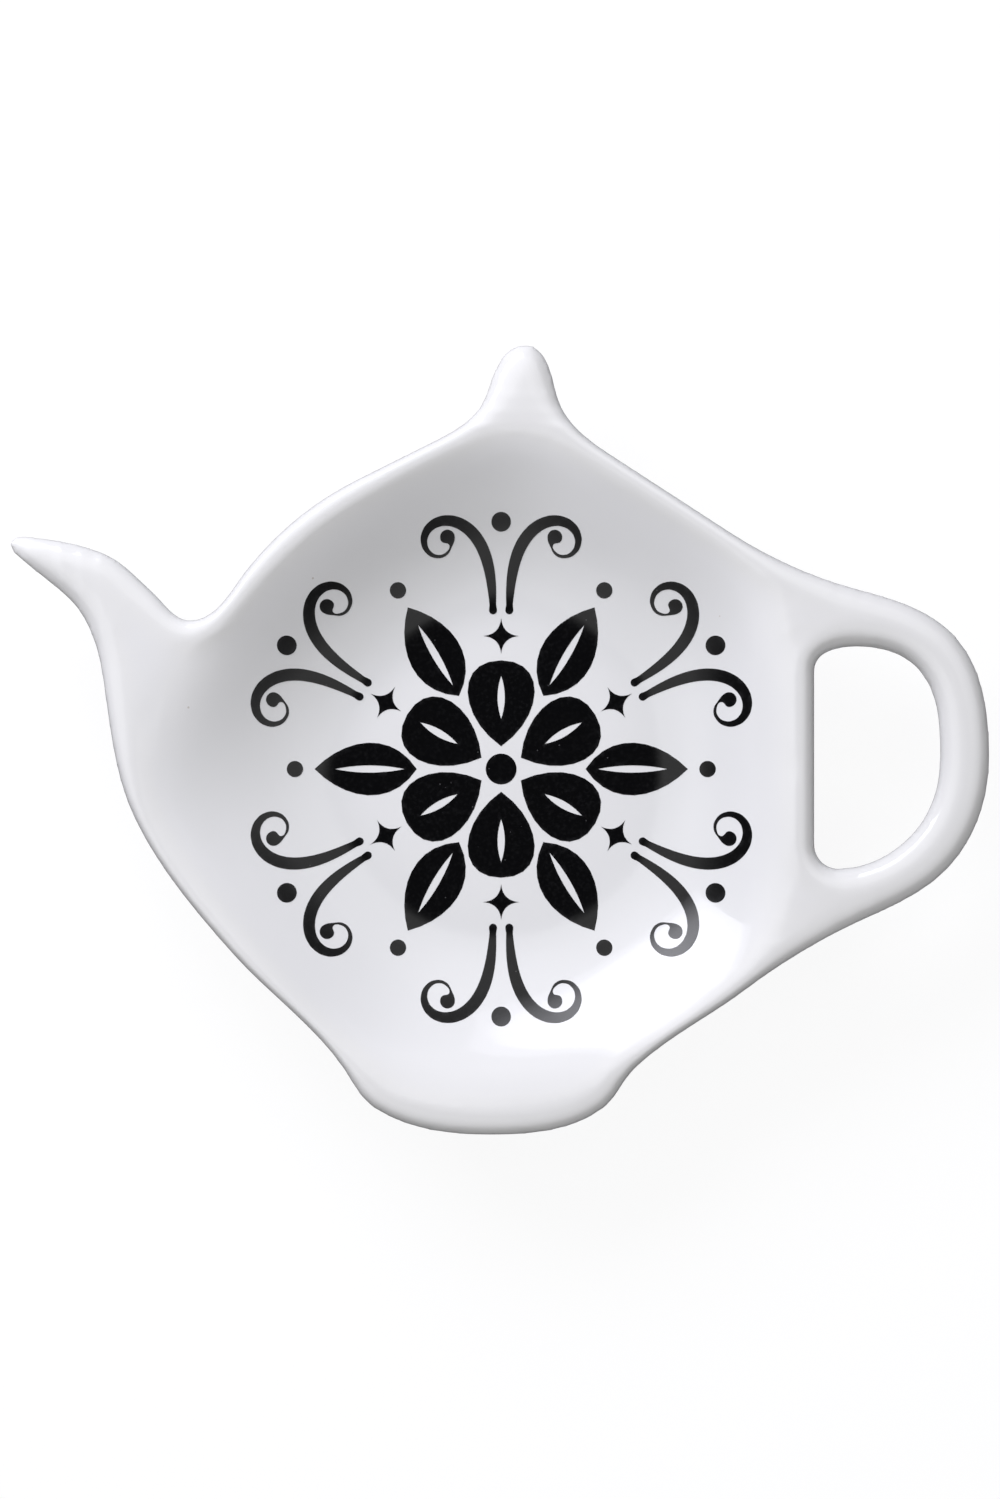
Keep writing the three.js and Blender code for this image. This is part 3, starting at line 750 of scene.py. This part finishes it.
ink_finish, shader, at = new_finish("black_ink")
grain = noise(at, *GRAIN_NOISE)
wash = noise(at, *WASH_NOISE)
colour = ((grain - MIDDLE) * WEAR * wash).clamped().blend(BLACK, WORN)
colour = (stored(at, "ink_edge") * EDGE_WEAR).blend(colour, WORN)
pinhole = spots(at, PINHOLE_SCALE, PINHOLE_SIZE, PINHOLE_SHARE)
colour = (pinhole * PINHOLE_TINT).blend(colour, PINHOLE)
feed(shader, "Base Color", colour)
feed(shader, "Roughness", INK_ROUGH + grain * GRAIN_ROUGH)
tooth = {"Strength": GRAIN_STRENGTH, "Distance": GRAIN_HEIGHT, "Height": grain}
feed(shader, "Normal", at.node("Bump", {}, tooth))
shader.inputs["IOR"].default_value = INK_IOR
for piece in ink_pieces:
    piece.data.materials.clear()
    piece.data.materials.append(ink_finish)
print("ink mixed with", len(ink_finish.node_tree.nodes), "nodes")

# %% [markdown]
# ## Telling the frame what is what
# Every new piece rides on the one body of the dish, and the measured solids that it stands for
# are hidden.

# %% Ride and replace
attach(dish, "root")
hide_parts("ceramic_dish")
for piece in ink_pieces:
    solid = piece.name.replace("ink_", "print_", 1)
    copies = [f"{solid}_{n + 1}" for n in range(FOLD)]
    if solid == "print_eye":
        copies = [solid]
    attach(piece, "root")
    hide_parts(*copies)
    print(piece.name, "stands for", len(copies), "solids")

# %% [markdown]
# ## The table
# The dish lies on a white sweep: a sheet of paper that runs flat under the object and curls up
# far behind it, so no horizon shows. A wide disc is the simplest start: its rim is drawn out and
# up in a few steps.

# %% Cut and curl the paper
DISC_RADIUS = 1.6
DISC_SIDES = 64
PAPER_DROP = 0.01 * MM
# For each step of the curl: its radius and its height, in metres.
SWEEP = [(2.2, 0.0), (2.6, 0.08), (2.85, 0.3), (2.95, 0.75)]

sheet = bmesh.new()
bmesh.ops.create_circle(sheet, cap_ends=True, radius=DISC_RADIUS, segments=DISC_SIDES)
for radius, lift in SWEEP:
    rim = [e for e in sheet.edges if e.is_boundary]
    drawn = bmesh.ops.extrude_edge_only(sheet, edges=rim)
    new_rim = [g for g in drawn["geom"] if isinstance(g, bmesh.types.BMVert)]
    widen = radius / new_rim[0].co.to_2d().length
    bmesh.ops.scale(sheet, verts=new_rim, vec=(widen, widen, 1))
    bmesh.ops.translate(sheet, verts=new_rim, vec=(0, 0, lift - new_rim[0].co.z))
bmesh.ops.recalc_face_normals(sheet, faces=sheet.faces)
if sum(f.normal.z * f.calc_area() for f in sheet.faces) < 0:
    bmesh.ops.reverse_faces(sheet, faces=sheet.faces)
bmesh.ops.translate(sheet, verts=sheet.verts, vec=(0, 0, -PAPER_DROP))
sweep = new_piece(sheet, "paper_sweep")
sweep.data.shade_smooth()
print("paper sweep:", len(sweep.data.polygons), "faces")

# %% [markdown]
# White paper throws light back at whatever lies on it, and the walls of a glazed dish mirror it,
# so their edges would melt into the background. This paper is dark grey, which takes the soft
# shadow of the dish, and glows for the camera only: it looks white, and the edges stay dark and
# crisp. From below it is clear, so that the underside can be looked at and lit.

# %% Colour the paper
PAPER = (0.15, 0.15, 0.153, 1)
FIBRE = (0.13, 0.13, 0.133, 1)
FIBRE_NOISE, FIBRE_TINT = (900, 3), 0.25
PAPER_ROUGH = 0.9
PAPER_GLOW = 0.87
DARK, BRIGHT = (0, 0, 0, 1), (1, 1, 1, 1)

paper, shader, at = new_finish("white_paper")
tree = paper.node_tree
fibre = noise(at, *FIBRE_NOISE)
feed(shader, "Base Color", (fibre * FIBRE_TINT).blend(PAPER, FIBRE))
shader.inputs["Roughness"].default_value = PAPER_ROUGH
shader.inputs["Specular IOR Level"].default_value = 0.0
path = tree.nodes.new("ShaderNodeLightPath")
seen = Wire(tree, path.outputs["Is Camera Ray"])
feed(shader, "Emission Color", seen.blend(DARK, BRIGHT))
shader.inputs["Emission Strength"].default_value = PAPER_GLOW
behind = at.node("NewGeometry", {}, {}, "Backfacing")
passes = (behind + Wire(tree, path.outputs["Is Shadow Ray"])).clamped()
clear = at.node("BsdfTransparent")
lit = Wire(tree, shader.outputs[0])
mixed = at.node("MixShader", {}, {0: passes, 1: lit, 2: clear})
tree.links.new(mixed.socket, tree.nodes["Material Output"].inputs["Surface"])
sweep.data.materials.append(paper)
print("paper coloured with", len(tree.nodes), "nodes")

# %% [markdown]
# ## Light
# One wide softbox stands behind the dish and to the left, fairly low: that is what leaves the
# upper left slope in shade, fills the lower right slope with a white reflection, and draws a
# bright line along every edge that faces it. The box fades out at its top, so it is hung as a few
# strips, each dimmer than the one below, and its reflection gets a soft inner edge. A lamp under
# the table lights the underside, which only shows when the dish is looked at from below.

# %% Hang the softbox and the lamp below
KEY_AZIMUTH = math.radians(121.5)
KEY_DISTANCE = 0.7
KEY_WIDTH = 0.66
KEY_GLOW = 26.0  # watts for each square metre of the box
# For each strip of the softbox: its height and half its span, in degrees, and its brightness.
KEY_STRIPS = [
    (28, 9, 1.0),
    (38.5, 1.5, 0.75),
    (41.5, 1.5, 0.4),
    (44.5, 1.5, 0.15),
]
KEY_TINT = (0.97, 0.975, 1.045)
UNDER_DISTANCE = 0.6
UNDER_SIZE = (0.6, 0.6)
UNDER_POWER = 3.4
UNDER_TINT = (1, 1, 1)


def hang_box(name, towards, distance, size, power, tint):
    """A flat rectangular lamp that faces the dish."""
    lamp = bpy.data.lights.new(name, "AREA")
    lamp.shape = "RECTANGLE"
    lamp.size, lamp.size_y = size
    lamp.energy = power
    lamp.color = tint
    box = bpy.data.objects.new(name, lamp)
    bpy.context.scene.collection.objects.link(box)
    box.location = well_middle + towards * distance
    box.rotation_euler = towards.to_track_quat("Z", "Y").to_euler()
    print(name, "at", [round(v, 3) for v in box.location])


level = Vector((math.cos(KEY_AZIMUTH), math.sin(KEY_AZIMUTH), 0))
up, down = Vector((0, 0, 1)), Vector((0, 0, -1))
for n, (height, half, share) in enumerate(KEY_STRIPS):
    key_rise = math.radians(height)
    key_way = level * math.cos(key_rise) + up * math.sin(key_rise)
    key_size = (KEY_WIDTH, 2 * KEY_DISTANCE * math.tan(math.radians(half)))
    key_power = KEY_GLOW * key_size[0] * key_size[1] * share
    hang_box(f"softbox_{n + 1}", key_way, KEY_DISTANCE, key_size, key_power, KEY_TINT)
hang_box("under_lamp", down, UNDER_DISTANCE, UNDER_SIZE, UNDER_POWER, UNDER_TINT)

# %% [markdown]
# The rest of the room is a ring of even white. It is dark straight above, where the camera
# stands, so that the ink stays black, and dark at the horizon, so that the edges show. A ramp on
# the height of each direction makes that ring. The camera itself sees plain white.

# %% Dim the room
ROOM = 0.945
# For each stop: the sine of the height above the horizon, and the tone.
SKY = [(0.0, 0.03), (0.52, 0.09), (0.72, 1.0), (0.955, 1.0), (0.985, 0.04)]

room = bpy.data.worlds.new("room")
room.use_nodes = True
tree = room.node_tree
sky = tree.nodes.new("ShaderNodeTexCoord")
towards = Wire(tree, sky.outputs["Generated"])
rise = towards.node("SeparateXYZ", {}, {"Vector": towards}, "Z")
sky_stops = [(at_rise, (tone, tone, tone, 1)) for at_rise, tone in SKY]
ring = towards.node("ValToRGB", {"stops": sky_stops}, {"Fac": rise})
dim = towards.node("VectorMath", {"operation": "SCALE"}, {"Vector": ring, "Scale": ROOM})
path = tree.nodes.new("ShaderNodeLightPath")
seen = Wire(tree, path.outputs["Is Camera Ray"]).blend(dim, BRIGHT)
tree.links.new(seen.socket, tree.nodes["Background"].inputs["Color"])
bpy.context.scene.world = room
bpy.context.scene.view_settings.view_transform = "Standard"
print("room hung with", len(sky_stops), "tones from horizon to zenith")

# %% [markdown]
# ## Camera
# The camera looks straight down from a metre above the rim through a long lens, so that the
# teapot outline shows without leaning walls. The lens is worked out from the length of table that
# has to fit in the frame.

# %% Set up the camera
PLANE_HEIGHT = 0.012
CAMERA_RISE = 1.0
CAMERA_X, CAMERA_Y = 0.06 * MM, -1.16 * MM
FRAME_TALL = 0.18355
SENSOR = 36
SIGHT = 20

view = bpy.data.cameras.new("camera")
view.sensor_width = SENSOR
view.lens = SENSOR * CAMERA_RISE / FRAME_TALL
view.clip_end = SIGHT
camera = bpy.data.objects.new("camera", view)
camera.location = (CAMERA_X, CAMERA_Y, PLANE_HEIGHT + CAMERA_RISE)
bpy.context.scene.collection.objects.link(camera)
bpy.context.scene.camera = camera
print("lens", round(view.lens, 1), "mm")
